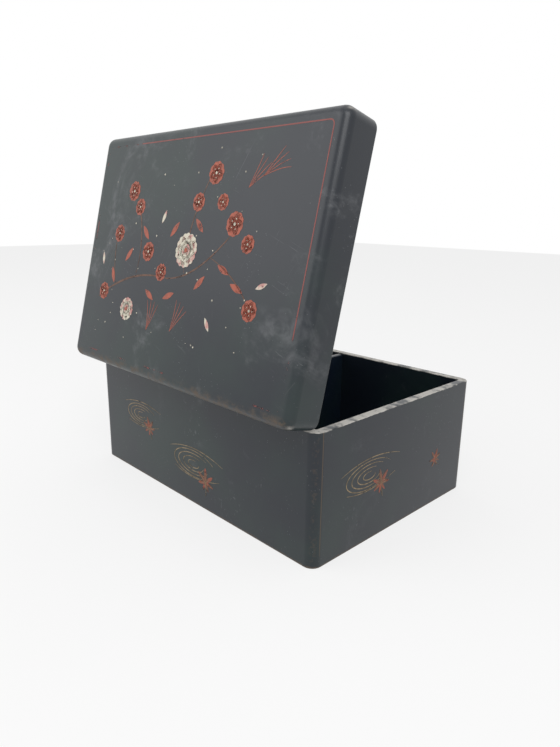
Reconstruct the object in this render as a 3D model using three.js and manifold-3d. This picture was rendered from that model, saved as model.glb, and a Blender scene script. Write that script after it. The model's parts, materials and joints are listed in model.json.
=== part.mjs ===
// Lacquered wooden box with a central partition and a hinged lid, in millimetres, +Z up.
// The origin is the centre of the box's underside. X runs along the long side and the hinges
// are on the +Y side. The lid is modelled closed, in a group that turns about the hinge axis.
import * as THREE from "three";
import { mergeVertices } from "three/addons/utils/BufferGeometryUtils.js";
import Module from "manifold-3d";

const wasm = await Module();
wasm.setup();

// Box
const boxLength = 300;
const boxWidth = 210;
const boxHeight = 107;
const wall = 7.5;
const cornerRadius = 9;
const edgeEase = 0.8;
const floorThickness = 6;
const rabbetWidth = 3.5;
const partitionThickness = 6;
const partitionDrop = 1.5;
const dadoDepth = 2.5;

// Corner joints, shared by the box and the lid
const tongueThickness = 2.6;
const tongueLength = 3;
const tongueInset = 10;
const seam = 0.3;

// Lid
const lidHeight = 30;
const lidOverhang = 1;
const lidWall = 7.5;
const lidTop = 8;
const lidRoundover = 7.5;
const lidTongueInset = 6;
const panelPlug = 2;
const openAngle = 76;
const rimGap = 0.3;

// Hinges
const hingeSpread = 180;
const leafLength = 44;
const leafWidth = 6;
const leafThickness = 1.2;
const barrelRadius = 2.4;
const barrelOffset = 1.2;
const pinRadius = 1.1;
const pinHeadRadius = 1.9;
const pinHeadHeight = 1;
const knuckleCount = 5;
const knuckleGap = 0.4;
const fit = 0.3;

// Hinge screws
const screwCount = 3;
const screwSpacing = 15;
const screwLength = 9;
const screwRadius = 0.9;
const screwHeadRadius = 1.7;
const screwHeadDepth = 0.8;

// Facets
const arcSteps = 6;
const barrelSides = 20;
const screwSides = 12;

// Places worked out from the sizes above
const halfLength = boxLength / 2;
const halfWidth = boxWidth / 2;
const lidLength = boxLength + 2 * lidOverhang;
const lidWidth = boxWidth + lidOverhang;
const lidCentreY = -lidOverhang / 2;
const rimHeight = boxHeight + rimGap;
const axisY = halfWidth + barrelOffset;
const axisZ = boxHeight + rimGap / 2;
const reach = 2 * boxLength;

function solidOf(geometry) {
  geometry.deleteAttribute("normal");
  geometry.deleteAttribute("uv");
  const merged = mergeVertices(geometry, 1e-4);
  const mesh = new wasm.Mesh({
    numProp: 3,
    vertProperties: new Float32Array(merged.attributes.position.array),
    triVerts: new Uint32Array(merged.index.array),
  });
  return new wasm.Manifold(mesh);
}

function geometryOf(solid) {
  const mesh = solid.getMesh();
  const geometry = new THREE.BufferGeometry();
  geometry.setAttribute("position", new THREE.BufferAttribute(mesh.vertProperties, 3));
  geometry.setIndex(new THREE.BufferAttribute(mesh.triVerts, 1));
  geometry.computeVertexNormals();
  return geometry;
}

// A block between two corners
function block(x0, x1, y0, y1, z0, z1) {
  const geometry = new THREE.BoxGeometry(x1 - x0, y1 - y0, z1 - z0);
  geometry.translate((x0 + x1) / 2, (y0 + y1) / 2, (z0 + z1) / 2);
  return solidOf(geometry);
}

// A rectangle with round corners, centred on the origin
function roundedOutline(length, width, radius) {
  const x = length / 2 - radius;
  const y = width / 2 - radius;
  const outline = new THREE.Shape();
  outline.absarc(x, y, radius, 0, Math.PI / 2, false);
  outline.absarc(-x, y, radius, Math.PI / 2, Math.PI, false);
  outline.absarc(-x, -y, radius, Math.PI, 1.5 * Math.PI, false);
  outline.absarc(x, -y, radius, 1.5 * Math.PI, 2 * Math.PI, false);
  outline.closePath();
  return outline;
}

// A block with round upright corners, and its top and bottom edges rounded over
function softBlock(length, width, radius, low, high, roundover, steps) {
  const geometry = new THREE.ExtrudeGeometry(roundedOutline(length, width, radius), {
    depth: high - low - 2 * roundover,
    curveSegments: arcSteps,
    bevelEnabled: true,
    bevelThickness: roundover,
    bevelSize: roundover,
    bevelOffset: -roundover,
    bevelSegments: steps,
  });
  geometry.translate(0, 0, low + roundover);
  return solidOf(geometry);
}

// A cylinder or other turned piece along X, from its radius at each place along the axis
function turned(profile, sides) {
  const points = profile.map(([radius, along]) => new THREE.Vector2(radius, along));
  const geometry = new THREE.LatheGeometry(points, sides);
  geometry.rotateZ(-Math.PI / 2);
  return solidOf(geometry);
}

function rod(radius, x0, x1, sides) {
  return turned([[0, x0], [radius, x0], [radius, x1], [0, x1]], sides);
}

// Four boards that stand round a rectangle. The long boards run the full length, and the ends
// stand between them, each with a tongue in a groove of the long board.
function fourBoards(body, length, width, centreY, thick, low, high, inset) {
  const endX = length / 2 - thick;
  const sideY = width / 2 - thick;
  const y0 = centreY - sideY;
  const y1 = centreY + sideY;
  const ring = body.subtract(block(-endX, endX, y0, y1, low - 1, high + 1));
  const boards = {
    back: ring.intersect(block(-reach, reach, y1, reach, low, high)),
    front: ring.intersect(block(-reach, reach, -reach, y0, low, high)),
  };
  const tongueMiddle = endX + thick / 2;
  for (const [name, side] of [["left", -1], ["right", 1]]) {
    const near = side * endX;
    const far = side * reach;
    let end = ring.intersect(
      block(Math.min(near, far), Math.max(near, far), y0 + seam, y1 - seam, low, high),
    );
    const x0 = side * tongueMiddle - tongueThickness / 2;
    const x1 = side * tongueMiddle + tongueThickness / 2;
    const z0 = low + inset;
    const z1 = high - inset;
    end = end.add(block(x0, x1, y0 - tongueLength, y1 + tongueLength, z0, z1));
    const deep = tongueLength + seam;
    const groove = block(x0 - seam, x1 + seam, y0 - deep, y1 + deep, z0 - seam, z1 + seam);
    boards.back = boards.back.subtract(groove);
    boards.front = boards.front.subtract(groove);
    boards[name] = end;
  }
  return boards;
}

// Box: four boards with a rabbet for the floor and a dado for the partition
const boxBody = softBlock(boxLength, boxWidth, cornerRadius, 0, boxHeight, edgeEase, 1);
const boxBoards = fourBoards(
  boxBody, boxLength, boxWidth, 0, wall, 0, boxHeight, tongueInset,
);
const insideX = halfLength - wall;
const insideY = halfWidth - wall;
const floorX = insideX + rabbetWidth;
const floorY = insideY + rabbetWidth;
const floorBoard = block(-floorX, floorX, -floorY, floorY, 0, floorThickness);
const rabbet = block(
  -floorX - seam, floorX + seam, -floorY - seam, floorY + seam, -1, floorThickness + seam,
);
const halfPartition = partitionThickness / 2;
const partitionY = insideY + dadoDepth;
const partitionTop = boxHeight - partitionDrop;
const partitionFoot = floorThickness + seam;
const partitionBoard = block(
  -halfPartition, halfPartition, -partitionY, partitionY, partitionFoot, partitionTop,
);
const dado = block(
  -halfPartition - seam, halfPartition + seam,
  -partitionY - seam, partitionY + seam, floorThickness, boxHeight + 1,
);
for (const name of Object.keys(boxBoards)) {
  boxBoards[name] = boxBoards[name].subtract(rabbet);
}
boxBoards.back = boxBoards.back.subtract(dado);
boxBoards.front = boxBoards.front.subtract(dado);

// Lid: a panel with a rolled-over edge and a plug below, on four shallow boards
const lidLow = rimHeight;
const lidHigh = rimHeight + lidHeight;
const panelLow = lidHigh - lidTop;
const lidBody = softBlock(
  lidLength, lidWidth, cornerRadius, lidLow - 2 * lidRoundover, lidHigh, lidRoundover, arcSteps,
).translate([0, lidCentreY, 0]);
const railHigh = panelLow - seam;
const lidBoards = fourBoards(
  lidBody, lidLength, lidWidth, lidCentreY, lidWall, lidLow, railHigh, lidTongueInset,
);
const plugX = lidLength / 2 - lidWall - seam;
const plugY = lidWidth / 2 - lidWall - seam;
const plugLow = panelLow - panelPlug;
const lidPanel = lidBody
  .intersect(block(-reach, reach, -reach, reach, panelLow, reach))
  .add(block(-plugX, plugX, lidCentreY - plugY, lidCentreY + plugY, plugLow, panelLow + 1));

// One screw, drawn along X with its head's face at 0, and the hole that it needs
function screwProfile(grow, length) {
  const head = screwHeadRadius + grow;
  const shank = screwRadius + grow;
  return [[0, -length], [shank, -length], [shank, -screwHeadDepth - grow], [head, 0], [0, 0]];
}

function screwAlong(direction, x, y, z, grow, length) {
  const profile = screwProfile(grow, length);
  if (grow > 0) {
    profile.splice(4, 0, [screwHeadRadius + grow, 1]);
    profile[5] = [0, 1];
  }
  return turned(profile, screwSides)
    .rotate([0, -90 * direction, 0])
    .translate([x, y, z]);
}

// The leaf of a butt hinge: a flat plate let into a rim, with every other knuckle of the barrel
function leafSolid(direction, firstKnuckle) {
  const rim = axisZ - direction * (rimGap / 2);
  const back = rim - direction * leafThickness;
  const plateY = halfWidth - leafWidth;
  const half = leafLength / 2;
  const pitch = leafLength / knuckleCount;
  let leaf = block(-half, half, plateY, axisY, Math.min(rim, back), Math.max(rim, back));
  leaf = leaf.subtract(barrelSpace(fit));
  for (let i = 0; i < knuckleCount; i += 1) {
    if (i % 2 !== firstKnuckle) {
      continue;
    }
    const x0 = -half + i * pitch + knuckleGap / 2;
    const x1 = -half + (i + 1) * pitch - knuckleGap / 2;
    const web = block(x0, x1, plateY + leafWidth / 2, axisY, Math.min(rim, back), Math.max(rim, back));
    leaf = leaf.add(web).add(rod(barrelRadius, x0, x1, barrelSides).translate([0, axisY, axisZ]));
  }
  return leaf.subtract(rod(pinRadius + fit, -reach, reach, barrelSides).translate([0, axisY, axisZ]));
}

// The round space along the hinge axis that the turning barrel sweeps
function barrelSpace(gap) {
  const half = leafLength / 2 + gap;
  return rod(barrelRadius + gap, -half, half, barrelSides).translate([0, axisY, axisZ]);
}

// The pocket in a rim that takes the leaf and the barrel
function leafPocket(direction) {
  const half = leafLength / 2 + fit;
  const rim = axisZ - direction * (rimGap / 2 - 1);
  const back = axisZ - direction * (rimGap / 2 + leafThickness + fit);
  const plateY = halfWidth - leafWidth - fit;
  const plate = block(-half, half, plateY, axisY + reach, Math.min(rim, back), Math.max(rim, back));
  return plate.add(barrelSpace(fit));
}

const screwY = halfWidth - leafWidth / 2 - barrelOffset / 2;

function screwPlaces() {
  const first = -(screwSpacing * (screwCount - 1)) / 2;
  return Array.from({ length: screwCount }, (_, i) => first + i * screwSpacing);
}

// Both leaves, the pin and the screws of one hinge, centred on X
function hingeSolids() {
  const solids = {};
  for (const [name, direction, firstKnuckle] of [["box", 1, 0], ["lid", -1, 1]]) {
    const rim = axisZ - direction * (rimGap / 2);
    let leaf = leafSolid(direction, firstKnuckle);
    let room = leafPocket(direction);
    const screws = [];
    for (const x of screwPlaces()) {
      const hole = screwAlong(direction, x, screwY, rim, fit, screwLength + fit);
      screws.push(screwAlong(direction, x, screwY, rim, 0, screwLength));
      leaf = leaf.subtract(hole);
      room = room.add(hole);
    }
    solids[name] = { leaf, screws, room };
  }
  const half = leafLength / 2;
  const headX = half + fit;
  solids.pin = turned(
    [
      [0, -headX - pinHeadHeight], [pinHeadRadius, -headX - pinHeadHeight],
      [pinHeadRadius, -headX], [pinRadius, -headX], [pinRadius, headX],
      [pinHeadRadius, headX], [pinHeadRadius, headX + pinHeadHeight], [0, headX + pinHeadHeight],
    ],
    barrelSides,
  ).translate([0, axisY, axisZ]);
  return solids;
}

const hinge = hingeSolids();
const headRoom = rod(
  barrelRadius + fit, -leafLength / 2 - pinHeadHeight - 2 * fit,
  leafLength / 2 + pinHeadHeight + 2 * fit, barrelSides,
).translate([0, axisY, axisZ]);
const hingePlaces = [["left", -hingeSpread / 2], ["right", hingeSpread / 2]];
for (const [, x] of hingePlaces) {
  boxBoards.back = boxBoards.back.subtract(hinge.box.room.add(headRoom).translate([x, 0, 0]));
  lidBoards.back = lidBoards.back.subtract(hinge.lid.room.add(headRoom).translate([x, 0, 0]));
}

// Finishes
const finishes = {
  lacquer: { color: 0x1d252c, roughness: 0.3, metalness: 0 },
  interior: { color: 0x151c28, roughness: 0.35, metalness: 0 },
  brass: { color: 0xa98546, roughness: 0.4, metalness: 1 },
  steel: { color: 0x8a8a86, roughness: 0.45, metalness: 1 },
};

function named(name, solid, finish, offset) {
  const mesh = new THREE.Mesh(geometryOf(solid), new THREE.MeshStandardMaterial(finishes[finish]));
  mesh.name = name;
  mesh.position.set(...offset);
  return mesh;
}

const still = [0, 0, 0];
const toAxis = [0, -axisY, -axisZ];
const lacquerBox = new THREE.Group();
const lidGroup = new THREE.Group();
lidGroup.position.set(0, axisY, axisZ);
lidGroup.rotation.x = -THREE.MathUtils.degToRad(openAngle);
lacquerBox.add(lidGroup);

lacquerBox.add(named("box_back_wall", boxBoards.back, "lacquer", still));
lacquerBox.add(named("box_front_wall", boxBoards.front, "lacquer", still));
lacquerBox.add(named("box_left_end", boxBoards.left, "lacquer", still));
lacquerBox.add(named("box_right_end", boxBoards.right, "lacquer", still));
lacquerBox.add(named("box_floor", floorBoard, "interior", still));
lacquerBox.add(named("partition", partitionBoard, "interior", still));

lidGroup.add(named("lid_panel", lidPanel, "lacquer", toAxis));
lidGroup.add(named("lid_back_rail", lidBoards.back, "lacquer", toAxis));
lidGroup.add(named("lid_front_rail", lidBoards.front, "lacquer", toAxis));
lidGroup.add(named("lid_left_rail", lidBoards.left, "lacquer", toAxis));
lidGroup.add(named("lid_right_rail", lidBoards.right, "lacquer", toAxis));

for (const [side, x] of hingePlaces) {
  const onBox = [x, 0, 0];
  const onLid = [x, -axisY, -axisZ];
  lacquerBox.add(named(`hinge_${side}_box_leaf`, hinge.box.leaf, "brass", onBox));
  lacquerBox.add(named(`hinge_${side}_pin`, hinge.pin, "brass", onBox));
  lidGroup.add(named(`hinge_${side}_lid_leaf`, hinge.lid.leaf, "brass", onLid));
  hinge.box.screws.forEach((screw, i) => {
    lacquerBox.add(named(`hinge_${side}_box_screw_${i + 1}`, screw, "steel", onBox));
  });
  hinge.lid.screws.forEach((screw, i) => {
    lidGroup.add(named(`hinge_${side}_lid_screw_${i + 1}`, screw, "steel", onLid));
  });
}

export default lacquerBox;
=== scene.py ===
import json
import math
import random

import bmesh
import bpy
from bpy.props import FloatProperty, FloatVectorProperty, IntProperty, PointerProperty
from mathutils import Matrix, Vector


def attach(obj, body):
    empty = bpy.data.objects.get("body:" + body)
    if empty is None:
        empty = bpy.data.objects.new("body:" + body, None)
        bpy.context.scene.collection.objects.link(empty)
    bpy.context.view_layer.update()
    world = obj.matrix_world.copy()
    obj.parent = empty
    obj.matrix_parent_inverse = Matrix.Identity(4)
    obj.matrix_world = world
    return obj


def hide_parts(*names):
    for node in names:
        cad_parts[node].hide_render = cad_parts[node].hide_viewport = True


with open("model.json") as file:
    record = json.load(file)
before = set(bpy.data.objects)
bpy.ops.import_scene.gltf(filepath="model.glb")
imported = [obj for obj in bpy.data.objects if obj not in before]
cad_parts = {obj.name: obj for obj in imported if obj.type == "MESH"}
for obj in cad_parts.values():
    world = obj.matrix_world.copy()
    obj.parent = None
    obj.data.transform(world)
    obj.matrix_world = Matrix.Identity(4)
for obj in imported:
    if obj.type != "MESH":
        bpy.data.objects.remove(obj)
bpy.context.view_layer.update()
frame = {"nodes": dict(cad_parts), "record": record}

bl_info = {
    "name": "Lacquer Box",
    "version": (1, 0, 0),
    "blender": (4, 5, 0),
    "location": "View3D > Sidebar > Lacquer Box",
    "description": "Dresses a hinged lacquer box with worn lacquer and painted sprays",
    "category": "Object",
}

MM = 0.001
LEAF_THICKNESS = 1.2 * MM
LEAF_ROOM = 0.3 * MM
RIM_GAP = 0.3 * MM
POCKET_REACH = 0.05
CAMERA_FORWARD = (0.69013, -0.67441, -0.26247)
CAMERA_RIGHT = (-0.69601, -0.71789, 0.01451)
WORLD_LIGHT = 0.6
WORLD_SEEN = 1.0
FLOOR_SEEN = 0.7

HINGE = frame["record"]["behaviour"]["joints"][0]
HINGE_POINT = Vector(HINGE["pos_m"])
HINGE_AXIS = Vector(HINGE["axis"])
OPEN_ANGLE = -math.radians(HINGE["range_deg"][0])
OPEN_LID = (
    Matrix.Translation(HINGE_POINT)
    @ Matrix.Rotation(OPEN_ANGLE, 4, HINGE_AXIS)
    @ Matrix.Translation(-HINGE_POINT)
)


def span(nodes, turn=None):
    """Lowest and highest corner of some nodes, after an optional turn."""
    points = []
    for name in nodes:
        for vertex in frame["nodes"][name].data.vertices:
            points.append(turn @ vertex.co if turn else vertex.co)
    low = Vector([min(p[i] for p in points) for i in range(3)])
    high = Vector([max(p[i] for p in points) for i in range(3)])
    return low, high


BOX_WALLS = ["box_back_wall", "box_front_wall", "box_left_end", "box_right_end"]
LID_BOARDS = ["lid_panel", "lid_back_rail", "lid_front_rail", "lid_left_rail", "lid_right_rail"]
BOX_LOW, BOX_HIGH = span(BOX_WALLS)
LID_LOW, LID_HIGH = span(LID_BOARDS, OPEN_LID.inverted())
PARTITION_LOW, PARTITION_HIGH = span(["partition"])
LEAVES = {
    "hinge_left_box_leaf": False, "hinge_right_box_leaf": False,
    "hinge_left_lid_leaf": True, "hinge_right_lid_leaf": True,
}


class LacquerSizes(bpy.types.PropertyGroup):
    """Sizes that the boards and their wear take."""

    wall: FloatProperty(
        name="Wall", description="Thickness of the boards", default=7.5 * MM, unit="LENGTH",
    )
    corner_radius: FloatProperty(
        name="Corner radius", description="Radius of the upright corners", default=9 * MM,
        unit="LENGTH",
    )
    edge_ease: FloatProperty(
        name="Eased edge", description="Radius along the rims and the foot", default=0.8 * MM,
        unit="LENGTH",
    )
    lid_roundover: FloatProperty(
        name="Lid roundover", description="Radius of the lid's upper edge", default=7.5 * MM,
        unit="LENGTH",
    )
    lid_top: FloatProperty(
        name="Lid top", description="Thickness of the lid's panel", default=10 * MM, unit="LENGTH",
    )
    line_inset: FloatProperty(
        name="Line inset", description="Distance of the painted line from the lid's edge",
        default=10.5 * MM, unit="LENGTH",
    )
    line_width: FloatProperty(
        name="Line width", description="Width of the painted line", default=0.9 * MM, unit="LENGTH",
    )
    paint_height: FloatProperty(
        name="Paint height", description="How far the paint stands up", default=0.08 * MM,
        unit="LENGTH",
    )


class LacquerColours(bpy.types.PropertyGroup):
    """Colours of the lacquer and the paints, as linear values."""

    lacquer: FloatVectorProperty(
        name="Lacquer", description="Aged black lacquer", default=(0.0085, 0.0125, 0.0195),
        subtype="COLOR",
    )
    lacquer_green: FloatVectorProperty(
        name="Green cast", description="Where the lacquer has turned green",
        default=(0.012, 0.024, 0.024), subtype="COLOR",
    )
    # Painted shade: a bluer copy of the lacquer colour for the box's interior, standing in for the
    # cool light there.
    inside: FloatVectorProperty(
        name="Inside", description="Lacquer inside the box", default=(0.007, 0.013, 0.026),
        subtype="COLOR",
    )
    scuff: FloatVectorProperty(
        name="Scuff", description="Chalky rubbed lacquer", default=(0.17, 0.175, 0.185),
        subtype="COLOR",
    )
    # Partly painted highlight: this pale colour fills the rubbed patches, and on the box's top rim
    # it also stands in for light falling on the rim.
    ground_and_rim_highlight: FloatVectorProperty(
        name="Ground", description="Bare ground on the worn rims", default=(0.55, 0.53, 0.49),
        subtype="COLOR",
    )
    wood: FloatVectorProperty(
        name="Wood", description="Brown undercoat on rubbed edges", default=(0.09, 0.062, 0.04),
        subtype="COLOR",
    )
    red: FloatVectorProperty(
        name="Red paint", description="Terracotta paint", default=(0.3, 0.075, 0.045),
        subtype="COLOR",
    )
    line: FloatVectorProperty(
        name="Line paint", description="Thin red line on the lid", default=(0.27, 0.06, 0.05),
        subtype="COLOR",
    )
    gold: FloatVectorProperty(
        name="Gold paint", description="Faded gold on the sides", default=(0.3, 0.22, 0.12),
        subtype="COLOR",
    )
    cream: FloatVectorProperty(
        name="Cream paint", description="Cream blossoms", default=(0.62, 0.58, 0.47),
        subtype="COLOR",
    )
    pink: FloatVectorProperty(
        name="Pink paint", description="Pink in the blossoms", default=(0.5, 0.24, 0.22),
        subtype="COLOR",
    )
    brown: FloatVectorProperty(
        name="Brown paint", description="Brown maple leaves", default=(0.13, 0.06, 0.035),
        subtype="COLOR",
    )
    brass: FloatVectorProperty(
        name="Brass", description="Tarnished hinge brass", default=(0.42, 0.29, 0.12),
        subtype="COLOR",
    )
    steel: FloatVectorProperty(
        name="Steel", description="Hinge screws", default=(0.33, 0.32, 0.3), subtype="COLOR",
    )


class LacquerStage(bpy.types.PropertyGroup):
    """Camera, and the seed of the scattered dots."""

    lens: FloatProperty(
        name="Lens", description="Focal length for a 36 mm long side", default=28.36,
    )
    camera_place: FloatVectorProperty(
        name="Camera place", description="Where the camera stands",
        default=(-0.4013, 0.3865, 0.2524), subtype="TRANSLATION",
    )
    seed: IntProperty(name="Seed", description="Seed of the scattered dots", default=7)


class Wire:
    """A socket that takes part in sums, so shader maths reads as an expression."""

    def __init__(self, graph, socket):
        self.graph = graph
        self.socket = socket

    def _math(self, operation, a, b):
        return self.graph.node("ShaderNodeMath", {"operation": operation}, {0: a, 1: b})

    def __add__(self, other):
        return self._math("ADD", self, other)

    __radd__ = __add__

    def __mul__(self, other):
        return self._math("MULTIPLY", self, other)

    __rmul__ = __mul__

    def __sub__(self, other):
        return self._math("SUBTRACT", self, other)

    def __rsub__(self, other):
        return self._math("SUBTRACT", other, self)

    def __truediv__(self, other):
        return self._math("DIVIDE", self, other)

    def __abs__(self):
        return self._math("ABSOLUTE", self, 0.0)

    def least(self, other):
        return self._math("MINIMUM", self, other)

    def most(self, other):
        return self._math("MAXIMUM", self, other)

    def above(self, low, high):
        """0 below low, 1 above high, and smooth between."""
        settings = {"interpolation_type": "SMOOTHSTEP"}
        return self.graph.node(
            "ShaderNodeMapRange", settings, {"Value": self, "From Min": low, "From Max": high},
        )

    def below(self, low, high):
        return 1 - self.above(low, high)


class Graph:
    """A material's nodes."""

    def __init__(self, name):
        self.material = bpy.data.materials.new(name)
        self.material.use_nodes = True
        self.tree = self.material.node_tree
        self.tree.nodes.clear()
        self.output = self.tree.nodes.new("ShaderNodeOutputMaterial")

    def node(self, kind, settings=None, inputs=None, out=0):
        made = self.tree.nodes.new(kind)
        for key, value in (settings or {}).items():
            if key == "stops":
                self._stops(made.color_ramp, value)
            else:
                setattr(made, key, value)
        for key, value in (inputs or {}).items():
            self.feed(made.inputs[key], value)
        return Wire(self, made.outputs[out])

    @staticmethod
    def _stops(ramp, stops):
        for place, _ in stops[2:]:
            ramp.elements.new(place)
        for element, (place, colour) in zip(ramp.elements, stops):
            element.position = place
            element.color = colour

    def feed(self, socket, value):
        if isinstance(value, Wire):
            self.tree.links.new(value.socket, socket)
        elif isinstance(value, (int, float)):
            socket.default_value = value
        else:
            values = list(value)
            if len(socket.default_value) == 4 and len(values) == 3:
                values.append(1.0)
            socket.default_value = values

    def place(self, turn=0.0, centre=(0, 0, 0)):
        """Object coordinates, moved to a centre and turned about X."""
        coords = self.node("ShaderNodeTexCoord", out="Object")
        settings = {"vector_type": "TEXTURE"}
        inputs = {"Vector": coords, "Location": centre, "Rotation": (turn, 0, 0)}
        return self.node("ShaderNodeMapping", settings, inputs)

    def stretch(self, vector, scale):
        return self.node("ShaderNodeMapping", {}, {"Vector": vector, "Scale": scale})

    def split(self, vector):
        made = self.tree.nodes.new("ShaderNodeSeparateXYZ")
        self.feed(made.inputs[0], vector)
        return [Wire(self, socket) for socket in made.outputs]

    def noise(self, vector, scale, detail=3.0, rough=0.55, distortion=0.0):
        inputs = {
            "Vector": vector, "Scale": scale, "Detail": detail, "Roughness": rough,
            "Distortion": distortion,
        }
        return self.node("ShaderNodeTexNoise", {}, inputs)

    def specks(self, vector, scale, size):
        """Small round dots, scattered."""
        cells = self.node("ShaderNodeTexVoronoi", {}, {"Vector": vector, "Scale": scale})
        return cells.below(size * 0.6, size)

    def mix(self, factor, a, b):
        made = self.tree.nodes.new("ShaderNodeMix")
        made.data_type = "RGBA"
        self.feed(made.inputs[0], factor)
        self.feed(made.inputs[6], a)
        self.feed(made.inputs[7], b)
        return Wire(self, made.outputs[2])

    def bump(self, height, strength, distance):
        inputs = {"Height": height, "Strength": strength, "Distance": distance}
        return self.node("ShaderNodeBump", {}, inputs)

    def finish(self, **values):
        """A Principled shader with these inputs, on the material's output."""
        shader = self.tree.nodes.new("ShaderNodeBsdfPrincipled")
        for key, value in values.items():
            self.feed(shader.inputs[key.replace("_", " ")], value)
        self.tree.links.new(shader.outputs[0], self.output.inputs[0])
        return self.material


def scratches(graph, vector, angle, scale):
    """Fine hairlines along one direction."""
    turned = graph.node("ShaderNodeMapping", {}, {"Vector": vector, "Rotation": (0, 0, angle)})
    long = graph.stretch(turned, (scale * 0.035, scale, scale * 0.3))
    lines = graph.noise(long, 1.0, detail=2.0, rough=0.6)
    return lines.above(0.665, 0.72)


def lacquer(name, turn=0.0, centre=(0, 0, 0), wear=None, scuffed=0.5, inside=False):
    """Aged lacquer: a clouded dark coat with scuffs, hairlines and specks. wear is a function
    that gives a pale mask and one of brown undercoat from the graph and the place; the pale
    mask is rubbed-through lacquer, and on the box's top rim partly a painted highlight."""
    colours = bpy.context.scene.lacquer_colours
    graph = Graph(name)
    where = graph.place(turn, centre)
    cloud = graph.noise(where, 9.0, detail=4.0)
    fine = graph.noise(where, 120.0, detail=4.0)
    # In the box's interior the base is the bluer painted shade tint instead of the outer lacquer
    # colour.
    dark = colours.inside if inside else colours.lacquer
    colour = graph.mix(cloud.above(0.42, 0.68), dark, colours.lacquer_green)
    patch = graph.noise(where, 14.0, detail=6.0, rough=0.7, distortion=0.6)
    chalk = patch.above(0.60 - 0.06 * scuffed, 0.78) * fine.above(0.3, 0.62) * scuffed
    lines = scratches(graph, where, 0.35, 700.0) + scratches(graph, where, -1.1, 520.0) * 0.7
    lines = lines * graph.noise(where, 22.0).above(0.5, 0.66)
    dots = graph.specks(where, 330.0, 0.13) * graph.noise(where, 30.0).above(0.5, 0.62)
    dull = chalk.most(lines * 0.35).most(dots * 0.6)
    colour = graph.mix(dull.least(1.0), colour, colours.scuff)
    rough = 0.27 + cloud * 0.12 + chalk * 0.4 + lines * 0.15
    height = fine * 0.15 + lines * -0.5 + patch * 0.5
    if wear:
        # The wear masks: pale patches are rubbed lacquer, and on the box's top rim partly a painted
        # highlight.
        ground_and_rim_highlight, brown = wear(graph, where, fine)
        colour = graph.mix(brown, colour, colours.wood)
        colour = graph.mix(ground_and_rim_highlight, colour, colours.ground_and_rim_highlight)
        rough = rough + ground_and_rim_highlight * 0.3 + brown * 0.25
        height = height - ground_and_rim_highlight * 0.8
    return graph.finish(
        Base_Color=colour, Roughness=rough.least(0.9), Normal=graph.bump(height, 0.25, 0.0002),
        IOR=1.5,
    )


def paint(name, colour, second=None, turn=0.0, worn=0.35):
    """Old brushed paint: two tones, brush streaks, and places where it has rubbed off."""
    graph = Graph(name)
    where = graph.place(turn, (0, 0, 0))
    tone = graph.noise(where, 160.0, detail=3.0)
    streak = graph.noise(graph.stretch(where, (1.0, 0.25, 1.0)), 900.0, detail=2.0)
    base = graph.mix(tone.above(0.4, 0.62), colour, second or [0.55 * c for c in colour])
    lost = graph.noise(where, 75.0, detail=8.0, rough=0.75).above(0.62 - 0.2 * worn, 0.7)
    lost = lost.most(streak.above(0.66, 0.74) * 0.6)
    rough = 0.42 + tone * 0.25
    return graph.finish(
        Base_Color=base, Roughness=rough, Alpha=1 - lost,
        Normal=graph.bump(streak, 0.3, 0.0001),
    )


def brass(name, colour, dark):
    """Tarnished metal with darker patches and fine grain."""
    graph = Graph(name)
    where = graph.place()
    cloud = graph.noise(where, 140.0, detail=5.0, rough=0.65)
    grain = graph.noise(graph.stretch(where, (0.1, 1.0, 1.0)), 1800.0, detail=2.0)
    tarnish = cloud.above(0.42, 0.66)
    return graph.finish(
        Base_Color=graph.mix(tarnish, colour, dark), Metallic=1 - tarnish * 0.35,
        Roughness=0.3 + tarnish * 0.3 + grain * 0.1, Normal=graph.bump(grain, 0.2, 0.00005),
    )


def box_wear_and_rim_highlight(graph, where, fine):
    """Rubbed corner seams and foot of the box, and a pale top rim that is partly rubbed lacquer,
    partly a painted highlight.
    """
    sizes = bpy.context.scene.lacquer_sizes
    x, y, z = graph.split(where)
    half_x = (BOX_HIGH.x - BOX_LOW.x) / 2
    half_y = (BOX_HIGH.y - BOX_LOW.y) / 2
    ragged = graph.noise(where, 260.0, detail=5.0, rough=0.7)
    # Painted highlight in part: the pale band along the top of the walls is rubbed lacquer that
    # also stands in for the light on the rim.
    rim = (z + ragged * 0.0012).above(BOX_HIGH.z - 0.0002, BOX_HIGH.z + 0.0003)
    rim = rim * graph.noise(where, 60.0, detail=5.0).above(0.36, 0.52)
    seam_line = abs(abs(y) - (half_y - sizes.wall)).below(0.0001, 0.0005)
    seam_line = seam_line * abs(x).above(half_x - 0.0004, half_x - 0.0002)
    seam_line = seam_line * (z + ragged * 0.02).above(0.015, 0.03)
    foot = (z - ragged * 0.004).below(-0.0012, 0.0004)
    corner_x = abs(x).above(half_x - 0.006, half_x - 0.001)
    corner_y = abs(y).above(half_y - 0.006, half_y - 0.001)
    corner = corner_x * corner_y * ragged.above(0.5, 0.62)
    brown = seam_line.most(foot * 0.7).most(corner * 0.6)
    return rim * fine.above(0.2, 0.45), brown


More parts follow.
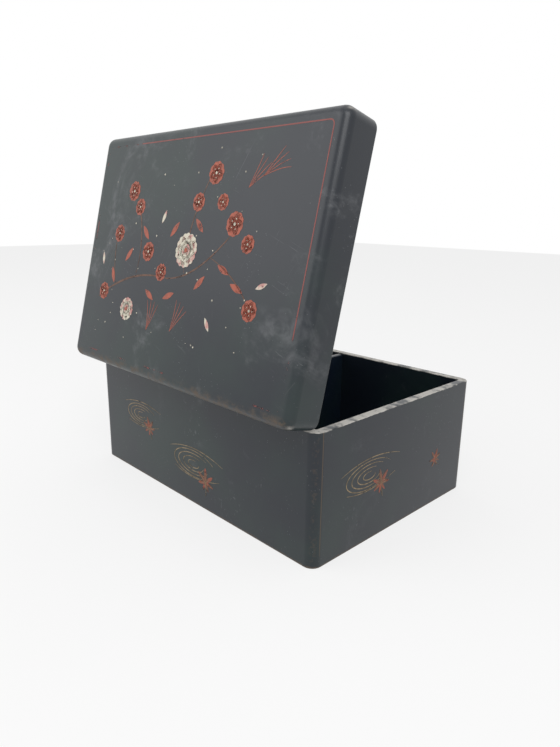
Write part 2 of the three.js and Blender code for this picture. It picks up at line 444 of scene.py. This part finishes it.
def lid_wear(graph, where, fine):
    """Rubbed edges of the lid, worst at its corners and along the hinged side."""
    x, y, z = graph.split(where)
    half_x = (LID_HIGH.x - LID_LOW.x) / 2
    half_y = (LID_HIGH.y - LID_LOW.y) / 2
    ragged = graph.noise(where, 150.0, detail=6.0, rough=0.72)
    edge_x = (abs(x) + ragged * 0.004).above(half_x - 0.0035, half_x + 0.0005)
    edge_y = (abs(y) + ragged * 0.004).above(half_y - 0.0035, half_y + 0.0005)
    near_top = z.above(0.020, 0.027)
    corner = edge_x * edge_y * near_top
    long_edge = (y + ragged * 0.008).above(half_y - 0.006, half_y + 0.001) * near_top
    long_edge = long_edge * ragged.above(0.42, 0.62)
    rim = z.below(0.0002, 0.0007) * graph.noise(where, 70.0, detail=5.0).above(0.4, 0.56)
    return corner.most(rim * 0.8) * fine.above(0.25, 0.5), long_edge * 0.8


def keep_mesh(made, name):
    """An object at the origin from a bmesh."""
    mesh = bpy.data.meshes.new(name)
    made.to_mesh(mesh)
    made.free()
    piece = bpy.data.objects.new(name, mesh)
    bpy.context.scene.collection.objects.link(piece)
    return piece


def shade(piece, angle=35.0):
    piece.data.shade_smooth()
    piece.data.set_sharp_from_angle(angle=math.radians(angle))
    weighted = piece.modifiers.new("weighted_normals", "WEIGHTED_NORMAL")
    weighted.keep_sharp = True


def bake_modifiers(piece):
    """Applies the modifiers of a piece to its mesh."""
    graph = bpy.context.evaluated_depsgraph_get()
    mesh = bpy.data.meshes.new_from_object(piece.evaluated_get(graph))
    piece.modifiers.clear()
    piece.data = mesh


def rounded_bar(low, high, radius, steps=12):
    """A bmesh block with round upright corners."""
    made = bmesh.new()
    bmesh.ops.create_cube(made, size=1.0)
    bmesh.ops.scale(made, vec=high - low, verts=made.verts)
    bmesh.ops.translate(made, vec=(high + low) / 2, verts=made.verts)
    upright = [e for e in made.edges if abs((e.verts[0].co - e.verts[1].co).z) > 0]
    bmesh.ops.bevel(
        made, geom=upright, offset=radius, segments=steps, profile=0.5, affect="EDGES",
        material=-1,
    )
    return made


def face_towards(made, axis, sign):
    return max(made.faces, key=lambda f: f.normal[axis] * sign * f.calc_area())


def bevel_edges(made, edges, offset, segments):
    bmesh.ops.bevel(
        made, geom=edges, offset=offset, segments=segments, profile=0.5, affect="EDGES",
        material=-1,
    )


class LACQUER_OT_camera(bpy.types.Operator):
    """Set the camera where the photograph was taken."""

    bl_idname = "lacquer.camera"
    bl_label = "Camera"

    def execute(self, context):
        stage = context.scene.lacquer_stage
        camera = bpy.data.cameras.new("camera")
        camera.lens = stage.lens
        camera.sensor_width = 36.0
        camera.clip_start = 0.01
        camera.clip_end = 50.0
        made = bpy.data.objects.new("camera", camera)
        context.scene.collection.objects.link(made)
        forward = Vector(CAMERA_FORWARD).normalized()
        right = Vector(CAMERA_RIGHT).normalized()
        up = right.cross(forward)
        turn = Matrix((right, up, -forward)).transposed().to_4x4()
        made.matrix_world = Matrix.Translation(Vector(stage.camera_place)) @ turn
        context.scene.camera = made
        return {"FINISHED"}


class LACQUER_OT_stage(bpy.types.Operator):
    """Floor, world and lamps."""

    bl_idname = "lacquer.stage"
    bl_label = "Stage"

    def execute(self, context):
        scene = context.scene
        scene.view_settings.view_transform = "Standard"
        self.world(scene)
        self.floor()
        self.lamp("window", place=(-1.1, 1.0, 1.5), size=1.2, watts=14.0)
        self.lamp("fill", place=(0.9, 1.4, 1.1), size=1.4, watts=7.0)
        return {"FINISHED"}

    def world(self, scene):
        world = bpy.data.worlds.new("world")
        scene.world = world
        world.use_nodes = True
        tree = world.node_tree
        background = tree.nodes["Background"]
        path = tree.nodes.new("ShaderNodeLightPath")
        seen = tree.nodes.new("ShaderNodeMath")
        seen.operation = "MAXIMUM"
        tree.links.new(path.outputs["Is Camera Ray"], seen.inputs[0])
        tree.links.new(path.outputs["Is Glossy Ray"], seen.inputs[1])
        level = tree.nodes.new("ShaderNodeMapRange")
        level.inputs["To Min"].default_value = WORLD_LIGHT
        level.inputs["To Max"].default_value = WORLD_SEEN
        tree.links.new(seen.outputs[0], level.inputs["Value"])
        background.inputs["Color"].default_value = (1, 1, 1, 1)
        tree.links.new(level.outputs[0], background.inputs["Strength"])

    def floor(self):
        made = bmesh.new()
        bmesh.ops.create_grid(made, x_segments=1, y_segments=1, size=4.0)
        floor = keep_mesh(made, "floor")
        graph = Graph("floor")
        path = graph.tree.nodes.new("ShaderNodeLightPath")
        diffuse = graph.tree.nodes.new("ShaderNodeBsdfDiffuse")
        diffuse.inputs["Color"].default_value = (0.93, 0.93, 0.93, 1)
        glow = graph.tree.nodes.new("ShaderNodeEmission")
        glow.inputs["Color"].default_value = (1, 1, 1, 1)
        blend = graph.tree.nodes.new("ShaderNodeMixShader")
        seen = Wire(graph, path.outputs["Is Camera Ray"]).most(
            Wire(graph, path.outputs["Is Glossy Ray"]),
        )
        graph.tree.links.new((seen * FLOOR_SEEN).socket, blend.inputs[0])
        graph.tree.links.new(diffuse.outputs[0], blend.inputs[1])
        graph.tree.links.new(glow.outputs[0], blend.inputs[2])
        graph.tree.links.new(blend.outputs[0], graph.output.inputs[0])
        floor.data.materials.append(graph.material)

    def lamp(self, name, place, size, watts):
        light = bpy.data.lights.new(name, "AREA")
        light.energy = watts
        light.size = size
        made = bpy.data.objects.new(name, light)
        made.location = place
        made.rotation_euler = (-Vector(place)).to_track_quat("-Z", "Y").to_euler()
        bpy.context.scene.collection.objects.link(made)


class LACQUER_OT_box(bpy.types.Operator):
    """The four walls of the box as one lacquered shell, and the partition."""

    bl_idname = "lacquer.box"
    bl_label = "Box"

    def execute(self, context):
        sizes = context.scene.lacquer_sizes
        made = rounded_bar(BOX_LOW, BOX_HIGH, sizes.corner_radius)
        ends = [face_towards(made, 2, 1), face_towards(made, 2, -1)]
        outer_edges = [e for f in ends for e in f.edges]
        for face in ends:
            bmesh.ops.inset_region(
                made, faces=[face], thickness=sizes.wall, use_even_offset=True,
            )
        inner_edges = [e for f in ends for e in f.edges]
        bmesh.ops.delete(made, geom=ends, context="FACES_ONLY")
        bmesh.ops.bridge_loops(made, edges=inner_edges)
        bevel_edges(made, outer_edges + inner_edges, sizes.edge_ease, 3)
        bmesh.ops.recalc_face_normals(made, faces=made.faces)
        shell = keep_mesh(made, "box_shell")
        carve(shell, [n for n, on_lid in LEAVES.items() if not on_lid], None)
        shade(shell)
        shell.data.materials.append(lacquer("box_lacquer", wear=box_wear_and_rim_highlight, scuffed=0.35))
        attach(shell, "box")
        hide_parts(*BOX_WALLS)
        self.partition()
        floor = frame["nodes"]["box_floor"]
        # The floor of the box gets the interior's painted shade tint.
        inside = lacquer("inside_lacquer", scuffed=0.2, inside=True)
        dress(floor, inside)
        return {"FINISHED"}

    def partition(self):
        made = bmesh.new()
        bmesh.ops.create_cube(made, size=1.0)
        bmesh.ops.scale(made, vec=PARTITION_HIGH - PARTITION_LOW, verts=made.verts)
        bmesh.ops.translate(
            made, vec=(PARTITION_HIGH + PARTITION_LOW) / 2, verts=made.verts,
        )
        top = [e for e in made.edges if all(v.co.z > PARTITION_HIGH.z - MM for v in e.verts)]
        bevel_edges(made, top, 1.0 * MM, 4)
        board = keep_mesh(made, "partition_board")
        shade(board)
        # The partition gets the interior's painted shade tint as well.
        board.data.materials.append(
            lacquer("partition_lacquer", wear=partition_wear, scuffed=0.25, inside=True),
        )
        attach(board, "box")
        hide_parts("partition")


def partition_wear(graph, where, fine):
    """The partition's top is rubbed to a pale line."""
    _, _, z = graph.split(where)
    top = z.above(PARTITION_HIGH.z - 0.0006, PARTITION_HIGH.z - 0.0001)
    top = top * graph.noise(where, 60.0, detail=5.0).above(0.38, 0.54)
    return top * 0.8, top * 0.5


def dress(node, material):
    """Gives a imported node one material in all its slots."""
    if not node.material_slots:
        node.data.materials.append(material)
    for slot in node.material_slots:
        slot.material = material


def carve(shell, leaf_nodes, turn):
    """Cuts the pockets of the hinge leaves and barrels out of a shell that is still shut."""
    cutters = []
    for name in leaf_nodes:
        low, high = span([name], turn)
        barrel_radius = high.y - HINGE_POINT.y
        inner = low.y - LEAF_ROOM
        deep = RIM_GAP / 2 + LEAF_THICKNESS + LEAF_ROOM
        if turn is None:
            z0, z1 = HINGE_POINT.z - deep, HINGE_POINT.z + MM
        else:
            z0, z1 = HINGE_POINT.z - MM, HINGE_POINT.z + deep
        block = bmesh.new()
        bmesh.ops.create_cube(block, size=1.0)
        size = Vector((high.x - low.x + 2 * LEAF_ROOM, POCKET_REACH, z1 - z0))
        bmesh.ops.scale(block, vec=size, verts=block.verts)
        middle = Vector(((low.x + high.x) / 2, inner + POCKET_REACH / 2, (z0 + z1) / 2))
        bmesh.ops.translate(block, vec=middle, verts=block.verts)
        cutters.append(keep_mesh(block, "pocket"))
        barrel = bmesh.new()
        bmesh.ops.create_cone(
            barrel, cap_ends=True, segments=40, radius1=barrel_radius + LEAF_ROOM,
            radius2=barrel_radius + LEAF_ROOM, depth=high.x - low.x + 4 * LEAF_ROOM + 2 * MM,
        )
        bmesh.ops.rotate(barrel, matrix=Matrix.Rotation(math.pi / 2, 3, "Y"), verts=barrel.verts)
        place = Vector((middle.x, HINGE_POINT.y, HINGE_POINT.z))
        bmesh.ops.translate(barrel, vec=place, verts=barrel.verts)
        cutters.append(keep_mesh(barrel, "barrel_room"))
    for cutter in cutters:
        cut = shell.modifiers.new("cut", "BOOLEAN")
        cut.operation = "DIFFERENCE"
        cut.solver = "EXACT"
        cut.object = cutter
    bake_modifiers(shell)
    for cutter in cutters:
        bpy.data.objects.remove(cutter)


class LACQUER_OT_lid(bpy.types.Operator):
    """The lid as one lacquered shell, made shut and then opened."""

    bl_idname = "lacquer.lid"
    bl_label = "Lid"

    def execute(self, context):
        sizes = context.scene.lacquer_sizes
        made = rounded_bar(LID_LOW, LID_HIGH, sizes.corner_radius)
        top = face_towards(made, 2, 1)
        bevel_edges(made, list(top.edges), sizes.lid_roundover, 10)
        rim = face_towards(made, 2, -1)
        outer = list(rim.edges)
        bmesh.ops.inset_region(made, faces=[rim], thickness=sizes.wall, use_even_offset=True)
        inner = list(rim.edges)
        depth = LID_HIGH.z - LID_LOW.z - sizes.lid_top
        grown = bmesh.ops.extrude_face_region(made, geom=[rim])
        bmesh.ops.delete(made, geom=[rim], context="FACES_ONLY")
        raised = [v for v in grown["geom"] if isinstance(v, bmesh.types.BMVert)]
        bmesh.ops.translate(made, vec=(0, 0, depth), verts=raised)
        bevel_edges(made, outer + inner, sizes.edge_ease, 3)
        bmesh.ops.recalc_face_normals(made, faces=made.faces)
        shell = keep_mesh(made, "lid_shell")
        carve(shell, [n for n, on_lid in LEAVES.items() if on_lid], OPEN_LID.inverted())
        shell.data.transform(OPEN_LID)
        shade(shell)
        shell.data.materials.append(
            lacquer(
                "lid_lacquer", turn=-OPEN_ANGLE, centre=lid_base(), wear=lid_wear, scuffed=0.75,
            ),
        )
        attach(shell, "lid")
        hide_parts(*LID_BOARDS)
        return {"FINISHED"}


def lid_base():
    """Centre of the lid's rim plane, on the opened lid."""
    shut = Vector((0, (LID_LOW.y + LID_HIGH.y) / 2, LID_LOW.z))
    return OPEN_LID @ shut


class LACQUER_OT_hinges(bpy.types.Operator):
    """Tarnished brass and dull screws for the hinges."""

    bl_idname = "lacquer.hinges"
    bl_label = "Hinges"

    def execute(self, context):
        colours = context.scene.lacquer_colours
        leaf = brass("tarnished_brass", colours.brass, [0.3 * c for c in colours.brass])
        screw = brass("dull_steel", colours.steel, [0.4 * c for c in colours.steel])
        for name, node in frame["nodes"].items():
            if name.startswith("hinge_"):
                dress(node, screw if "screw" in name else leaf)
        return {"FINISHED"}


class Surface:
    """A flat face to paint on: right, up and outward directions from an origin."""

    def __init__(self, origin, right, up, body, turn=None):
        right, up = Vector(right), Vector(up)
        out = right.cross(up)
        columns = Matrix((right, up, out)).transposed().to_4x4()
        self.matrix = Matrix.Translation(Vector(origin)) @ columns
        if turn:
            self.matrix = turn @ self.matrix
        self.body = body


class Brush:
    """Gathers the strokes of one colour on one surface into one mesh."""

    def __init__(self, name, surface, material):
        self.name = name
        self.surface = surface
        self.material = material
        self.mesh = bmesh.new()

    def dab(self, x, y, size, outline, turn=0.0, layer=0, sides=36, squash=1.0):
        """A closed dab of paint whose outline is a radius for each angle, in millimetres."""
        height = bpy.context.scene.lacquer_sizes.paint_height * (1 + 0.5 * layer)
        made = bmesh.ops.create_circle(self.mesh, cap_ends=True, radius=1.0, segments=sides)
        verts = made["verts"]
        for vert in verts:
            angle = math.atan2(vert.co.y, vert.co.x)
            radius = outline(angle) * size * MM
            vert.co = Vector((math.cos(angle) * radius, math.sin(angle) * radius * squash, 0))
        self._raise(verts, Matrix.Rotation(turn, 4, "Z"), (x, y), height)

    def _raise(self, verts, turn, place, height):
        faces = {f for v in verts for f in v.link_faces}
        for face in faces:
            if face.normal.z < 0:
                face.normal_flip()
        sink = Matrix.Translation((place[0] * MM, place[1] * MM, -0.02 * MM))
        bmesh.ops.transform(self.mesh, matrix=sink @ turn, verts=verts)
        grown = bmesh.ops.extrude_face_region(self.mesh, geom=list(faces), use_keep_orig=True)
        raised = [v for v in grown["geom"] if isinstance(v, bmesh.types.BMVert)]
        bmesh.ops.translate(self.mesh, vec=(0, 0, height + 0.02 * MM), verts=raised)

    def stroke(self, points, width, layer=0, taper=True):
        """A brush stroke along a smooth path, in millimetres, thinner towards its ends."""
        height = bpy.context.scene.lacquer_sizes.paint_height * (1 + 0.5 * layer)
        count = len(points)
        made = bmesh.ops.create_grid(self.mesh, x_segments=count - 1, y_segments=1, size=1.0)
        verts = sorted(made["verts"], key=lambda v: (round(v.co.x, 5), v.co.y))
        for i in range(count):
            before = Vector(points[max(i - 1, 0)])
            after = Vector(points[min(i + 1, count - 1)])
            along = (after - before).normalized()
            across = Vector((-along.y, along.x))
            share = i / (count - 1)
            half = width / 2 * (math.sin(math.pi * (0.06 + 0.88 * share)) ** 0.6 if taper else 1)
            for vert, side in zip(verts[2 * i:2 * i + 2], (-1, 1)):
                spot = (Vector(points[i]) + across * half * side) * MM
                vert.co = Vector((spot.x, spot.y, 0))
        self._raise(verts, Matrix.Identity(4), (0, 0), height)

    def dry(self):
        bmesh.ops.recalc_face_normals(self.mesh, faces=self.mesh.faces)
        bmesh.ops.transform(self.mesh, matrix=self.surface.matrix, verts=self.mesh.verts)
        piece = keep_mesh(self.mesh, self.name)
        piece.data.materials.append(self.material)
        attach(piece, self.surface.body)
        return piece


def petal(angle):
    """A rounded petal that starts at the centre and has a small notch at its tip."""
    length = max(math.cos(angle / 2), 0.0) ** 1.5
    notch = 0.12 * math.exp(-((angle / 0.22) ** 2))
    return length - notch


def leaf_blade(angle):
    """A leaf with a point at each end."""
    return 1 / (1 + 2.2 * abs(math.sin(angle)) ** 1.1)


def disc(angle):
    return 1.0


def maple(angle):
    """A maple leaf with seven pointed lobes, the middle one longest."""
    lobe = abs(math.cos(3.5 * angle))
    length = 0.62 + 0.38 * math.cos(angle / 2) ** 2
    return length * (0.3 + 0.7 * (1 - math.sqrt(1 - min(lobe, 0.999) ** 2)) ** 0.8)


def arc(cx, cy, rx, ry, start, end, steps=28, drift=0.0):
    """Points along part of an ellipse whose radius grows by drift."""
    points = []
    for i in range(steps + 1):
        share = i / steps
        angle = start + (end - start) * share
        grow = 1 + drift * share
        points.append((cx + rx * grow * math.cos(angle), cy + ry * grow * math.sin(angle)))
    return points


def curve(p0, p1, p2, steps=14):
    """Points along a quadratic curve."""
    a, b, c = Vector(p0), Vector(p1), Vector(p2)
    return [
        tuple(a * (1 - t) ** 2 + b * 2 * t * (1 - t) + c * t * t)
        for t in [i / steps for i in range(steps + 1)]
    ]


class LACQUER_OT_lid_painting(bpy.types.Operator):
    """Blossom sprays, buds, grasses and the thin red line on the lid."""

    bl_idname = "lacquer.lid_painting"
    bl_label = "Lid painting"

    def execute(self, context):
        colours = context.scene.lacquer_colours
        origin = ((LID_LOW.x + LID_HIGH.x) / 2, HINGE_POINT.y, LID_HIGH.z)
        top = Surface(origin, (-1, 0, 0), (0, -1, 0), "lid", OPEN_LID)
        turn = -OPEN_ANGLE
        rust = [1.25 * c for c in colours.red]
        red = Brush("lid_red_paint", top, paint("red_paint", colours.red, rust, turn, 0.3))
        dark = Brush("lid_brown_paint", top, paint("brown_paint", colours.brown, None, turn, 0.4))
        cream = Brush(
            "lid_cream_paint", top, paint("cream_paint", colours.cream, colours.pink, turn, 0.2),
        )
        white = Brush(
            "lid_white_paint", top, paint("white_paint", colours.cream, None, turn, 0.15),
        )
        self.sprays(red, dark, cream, white)
        self.dots(white, context.scene.lacquer_stage.seed)
        line = Brush("lid_line", top, line_paint(colours.line))
        self.border(line, context.scene.lacquer_sizes)
        for brush in (red, dark, cream, white, line):
            brush.dry()
        return {"FINISHED"}

    def sprays(self, red, dark, cream, white):
        branches = [
            ((-118, 62), (-70, 92), (-18, 88), 1.8), ((-18, 88), (24, 86), (66, 132), 1.4),
            ((-60, 88), (-52, 128), (-86, 168), 1.2), ((10, 94), (2, 132), (28, 176), 1.1),
            ((40, 108), (74, 98), (98, 70), 1.0), ((-92, 76), (-104, 100), (-100, 128), 0.9),
        ]
        for start, middle, end, width in branches:
            dark.stroke(curve(start, middle, end), width, layer=0)
        plums = [
            (-84, 160, 9.0, 0.2), (-70, 146, 7.5, 0.9), (-98, 122, 8.0, 0.5), (-46, 108, 8.5, 1.1),
            (30, 172, 9.0, 0.4), (14, 150, 7.5, 0.0), (62, 134, 9.5, 0.7), (80, 120, 7.0, 0.1),
            (-22, 92, 7.5, 0.3), (-110, 68, 8.0, 0.8), (44, 150, 6.5, 1.2), (94, 74, 8.0, 0.6),
        ]
        for x, y, size, start in plums:
            self.plum(red, white, x, y, size, start)
        for x, y, size, start in [(8, 112, 15.0, 0.2), (-66, 56, 11.0, 0.6)]:
            self.rosette(cream, white, red, x, y, size, start)
        for x, y, turn in [(-30, 138, 1.2), (102, 92, 0.4), (50, 58, 2.2), (-120, 98, 1.8)]:
            cream.dab(x, y, 6.0, leaf_blade, turn, layer=1)
        leaves = [
            (-6, 74, 0.4), (-34, 72, -0.5), (32, 88, 0.8), (58, 100, -0.4), (-76, 104, 0.9),
            (-54, 124, -0.8), (20, 132, 2.4), (-12, 128, 0.9), (76, 88, 2.8), (-98, 84, 2.0),
        ]
        for x, y, turn in leaves:
            red.dab(x, y, 8.0, leaf_blade, turn, layer=0)
        for x, y, lean in [(70, 160, 0.5), (84, 168, 0.2), (-30, 42, 1.1), (4, 46, 0.8)]:
            for i in range(4):
                tip = (x + 26 * math.cos(lean + 0.22 * i), y + 26 * math.sin(lean + 0.22 * i))
                bend = ((x + tip[0]) / 2 + 2, (y + tip[1]) / 2 + 3)
                red.stroke(curve((x, y), bend, tip, 8), 0.55)

    def plum(self, red, white, x, y, size, start):
        for i in range(5):
            angle = start + i * math.tau / 5
            off = size * 0.12
            red.dab(
                x + off * math.cos(angle), y + off * math.sin(angle), size * 0.92, petal, angle,
                layer=1, squash=0.95,
            )
        white.dab(x, y, size * 0.13, disc, layer=3, sides=12)
        for i in range(5):
            angle = start + (i + 0.5) * math.tau / 5
            end = (x + size * 0.42 * math.cos(angle), y + size * 0.42 * math.sin(angle))
            white.dab(end[0], end[1], size * 0.055, disc, layer=3, sides=8)

    def rosette(self, cream, white, red, x, y, size, start):
        for ring, (reach, count, layer) in enumerate([(1.0, 8, 2), (0.66, 7, 4), (0.36, 5, 6)]):
            for i in range(count):
                angle = start + ring * 0.35 + i * math.tau / count
                brush = cream if ring != 1 else white
                brush.dab(
                    x, y, size * reach, petal, angle, layer=layer, squash=0.62 + 0.1 * ring,
                )
        red.dab(x, y, size * 0.13, disc, layer=9, sides=14)

    def dots(self, white, seed):
        draw = random.Random(seed)
        for _ in range(46):
            x, y = draw.uniform(-128, 118), draw.uniform(30, 192)
            white.dab(x, y, draw.uniform(0.3, 0.8), disc, layer=1, sides=8)

    def border(self, line, sizes):
        half = (LID_HIGH.x - LID_LOW.x) / 2 / MM - sizes.line_inset / MM
        low = HINGE_POINT.y - LID_HIGH.y
        low = low / MM + sizes.line_inset / MM
        high = (HINGE_POINT.y - LID_LOW.y) / MM - sizes.line_inset / MM
        radius = 4.0
        path = []
        for cx, cy, start in [
            (half - radius, high - radius, 0), (-half + radius, high - radius, 1),
            (-half + radius, low + radius, 2), (half - radius, low + radius, 3),
        ]:
            begin = start * math.pi / 2
            path += arc(cx, cy, radius, radius, begin, begin + math.pi / 2, 6)
        path.append(path[0])
        for a, b in zip(path, path[1:]):
            steps = max(2, int((Vector(b) - Vector(a)).length / 12))
            leg = [tuple(Vector(a).lerp(Vector(b), i / steps)) for i in range(steps + 1)]
            line.stroke(leg, sizes.line_width / MM, taper=False)


def line_paint(colour):
    """The lid's thin line, which has worn away towards the hinged side."""
    graph = Graph("line_paint")
    where = graph.place(-OPEN_ANGLE, lid_base())
    x, y, _ = graph.split(where)
    tone = graph.noise(where, 200.0, detail=4.0)
    fade = graph.noise(where, 26.0, detail=6.0, rough=0.7)
    # The line is whole along the -X and -Y sides and mostly gone along the others.
    gone = (y / 0.105).above(0.2, 0.9).most((x / 0.15).above(0.1, 0.95))
    lost = (fade + gone * 0.25).above(0.62, 0.70)
    return graph.finish(
        Base_Color=graph.mix(tone, colour, [0.6 * c for c in colour]), Roughness=0.45,
        Alpha=1 - lost,
    )


class LACQUER_OT_side_painting(bpy.types.Operator):
    """Maple leaves on running water, in faded gold and brown, on the walls."""

    bl_idname = "lacquer.side_painting"
    bl_label = "Side painting"

    def execute(self, context):
        colours = context.scene.lacquer_colours
        gold = paint("gold_paint", colours.gold, [0.5 * c for c in colours.gold], 0.0, 0.62)
        leaf = paint("maple_paint", colours.brown, colours.red, 0.0, 0.5)
        middle_y = (BOX_LOW.y + BOX_HIGH.y) / 2
        faces = {
            "back": Surface((0, BOX_HIGH.y, 0), (-1, 0, 0), (0, 0, 1), "box"),
            "front": Surface((0, BOX_LOW.y, 0), (1, 0, 0), (0, 0, 1), "box"),
            "left": Surface((BOX_LOW.x, middle_y, 0), (0, -1, 0), (0, 0, 1), "box"),
            "right": Surface((BOX_HIGH.x, middle_y, 0), (0, 1, 0), (0, 0, 1), "box"),
        }
        places = {
            "back": [(-78, 62, 1.0, 0.3), (6, 38, 1.2, 0.0)],
            "front": [(-60, 56, 1.1, 0.5), (64, 44, 1.0, 0.1)],
            "left": [(-42, 57, 1.15, 0.2), (42, 52, 0.9, 0.7)],
            "right": [(-38, 50, 1.0, 0.6), (40, 58, 1.1, 0.2)],
        }
        for name, surface in faces.items():
            water = Brush(f"{name}_water", surface, gold)
            leaves = Brush(f"{name}_maple", surface, leaf)
            for i, (x, y, size, turn) in enumerate(places[name]):
                if name in ("back", "front") or i == 0:
                    self.swirl(water, x, y, size)
                self.maple_leaf(leaves, water, x + 14 * size, y - 10 * size, 12 * size, turn)
            water.dry()
            leaves.dry()
        return {"FINISHED"}

    def swirl(self, brush, x, y, size):
        for i, reach in enumerate((26, 20, 13.5, 7)):
            start = 0.5 + 0.25 * i
            brush.stroke(
                arc(x, y, reach * size, reach * 0.42 * size, start, start + 5.2, 40, -0.12),
                0.8, taper=True,
            )
        brush.stroke(curve((x - 30 * size, y + 8), (x, y + 18 * size), (x + 34 * size, y + 9)), 0.7)
        brush.stroke(curve((x - 24 * size, y - 9), (x, y - 15 * size), (x + 30 * size, y - 6)), 0.7)

    def maple_leaf(self, brush, veins, x, y, size, turn):
        up = turn + math.pi / 2
        brush.dab(x, y, size, maple, up, layer=1, sides=98)
        for lobe in range(-2, 3):
            angle = up + lobe * math.tau / 7
            end = (x + size * 0.62 * math.cos(angle), y + size * 0.62 * math.sin(angle))
            veins.stroke([(x, y), ((x + end[0]) / 2, (y + end[1]) / 2), end], 0.35, layer=4)
        stem = (x - size * 0.9 * math.cos(up), y - size * 0.9 * math.sin(up))
        veins.stroke(curve((x, y), (x + 1, (y + stem[1]) / 2), stem, 8), 0.6, layer=3)


class LACQUER_PT_panel(bpy.types.Panel):
    """Lists the makers of the lacquer box."""

    bl_idname = "LACQUER_PT_panel"
    bl_label = "Lacquer Box"
    bl_space_type = "VIEW_3D"
    bl_region_type = "UI"
    bl_category = "Lacquer Box"

    def draw(self, context):
        layout = self.layout
        for group in ("lacquer_sizes", "lacquer_colours", "lacquer_stage"):
            values = getattr(context.scene, group)
            for name in values.__annotations__:
                layout.prop(values, name)
        for operator in OPERATORS:
            layout.operator(operator.bl_idname)


OPERATORS = (
    LACQUER_OT_camera, LACQUER_OT_box, LACQUER_OT_lid, LACQUER_OT_hinges,
    LACQUER_OT_lid_painting, LACQUER_OT_side_painting, LACQUER_OT_stage,
)
GROUPS = (LacquerSizes, LacquerColours, LacquerStage)


def register():
    for made in (*GROUPS, *OPERATORS, LACQUER_PT_panel):
        bpy.utils.register_class(made)
    bpy.types.Scene.lacquer_sizes = PointerProperty(type=LacquerSizes)
    bpy.types.Scene.lacquer_colours = PointerProperty(type=LacquerColours)
    bpy.types.Scene.lacquer_stage = PointerProperty(type=LacquerStage)


def unregister():
    for name in ("lacquer_sizes", "lacquer_colours", "lacquer_stage"):
        delattr(bpy.types.Scene, name)
    for made in reversed((*GROUPS, *OPERATORS, LACQUER_PT_panel)):
        bpy.utils.unregister_class(made)


def main():
    register()
    bpy.ops.lacquer.camera()
    bpy.ops.lacquer.box()
    bpy.ops.lacquer.lid()
    bpy.ops.lacquer.hinges()
    bpy.ops.lacquer.lid_painting()
    bpy.ops.lacquer.side_painting()
    bpy.ops.lacquer.stage()


if __name__ == "__main__":
    main()
